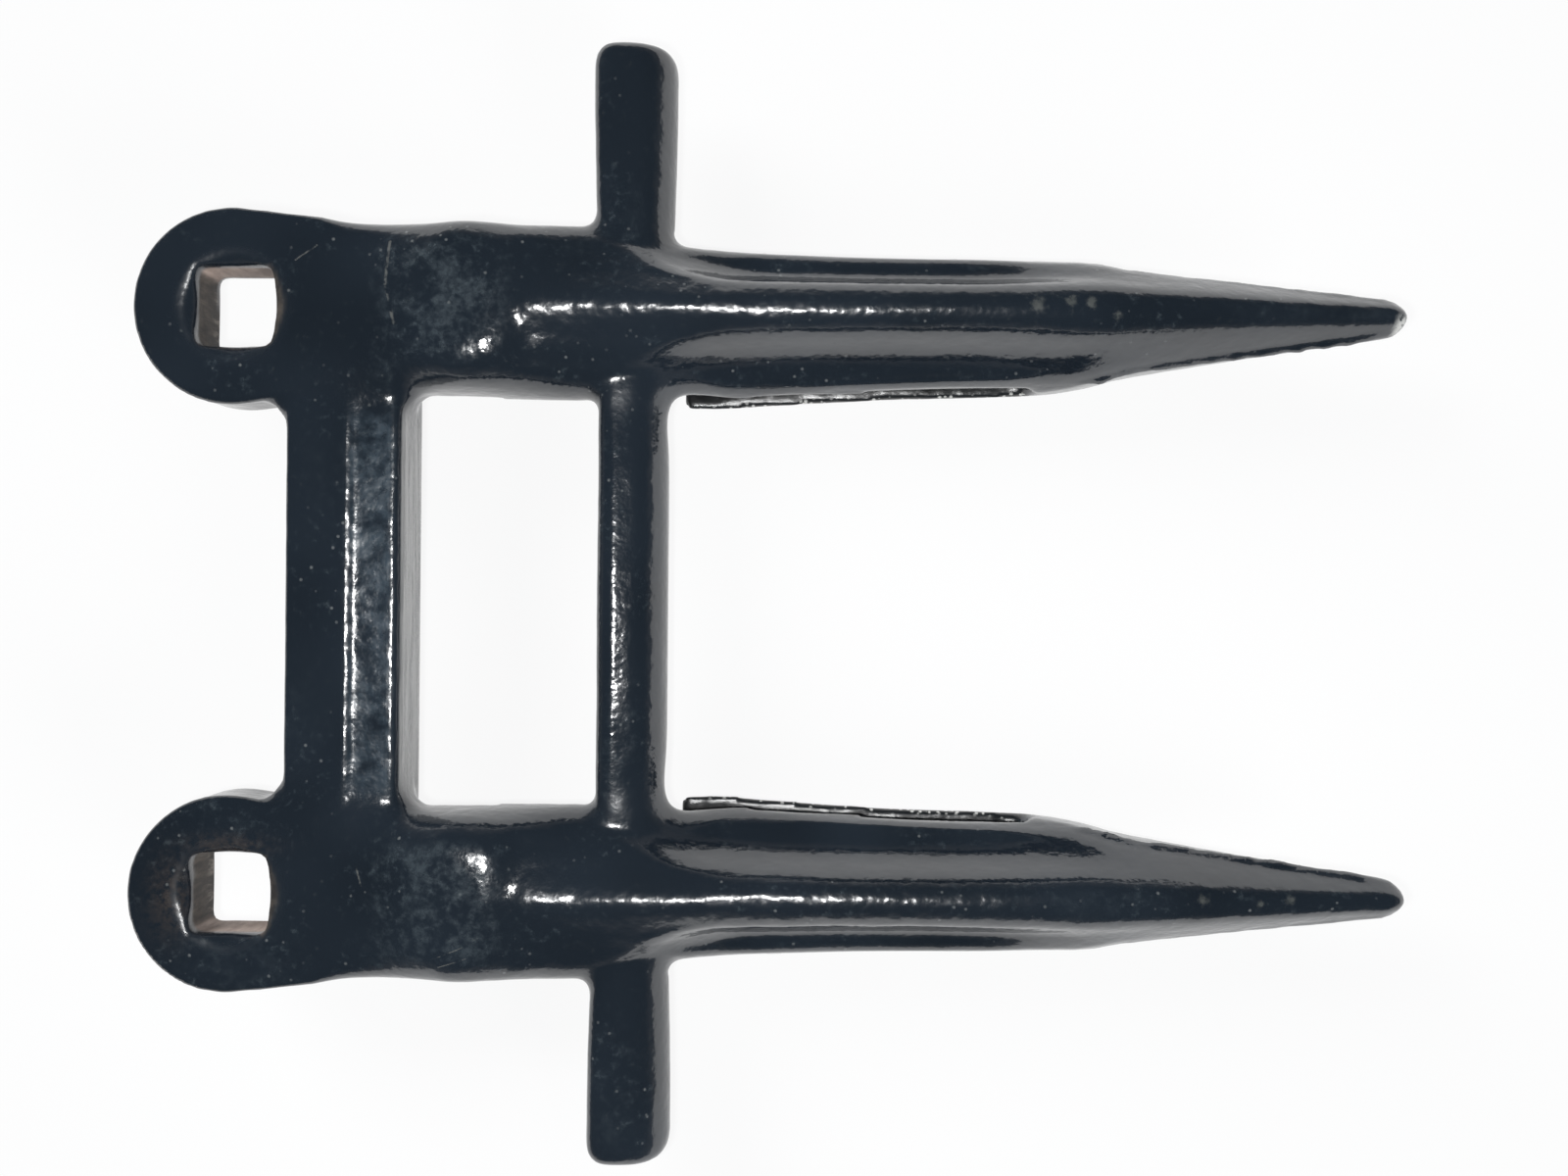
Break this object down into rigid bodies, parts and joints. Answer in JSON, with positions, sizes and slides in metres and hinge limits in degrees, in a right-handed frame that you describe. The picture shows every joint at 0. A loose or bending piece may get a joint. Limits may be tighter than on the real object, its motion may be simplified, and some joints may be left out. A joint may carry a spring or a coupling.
{
  "type": "mower knife guard",
  "caption": "Cast guard for a mower's cutter bar: pointed keeled fingers with open knife slots, tied by cross bars with stub ends, and bolt lugs with square holes.",
  "frame": {"origin": "midway between the bolt holes, in the plane of the lugs' mounting faces", "axes": "+X towards the finger tips, +Y across the fingers along the knife's stroke, +Z towards the keel side that faces the ground in use; the knife runs on the -Z side"},
  "size_m": [0.1665, 0.1486, 0.0215],
  "materials": {
    "enamel": "glossy blue-black dipped enamel over a rough casting"
  },
  "bodies": {
    "root": {"knife_guard": "enamel"}
  },
  "joints": []
}
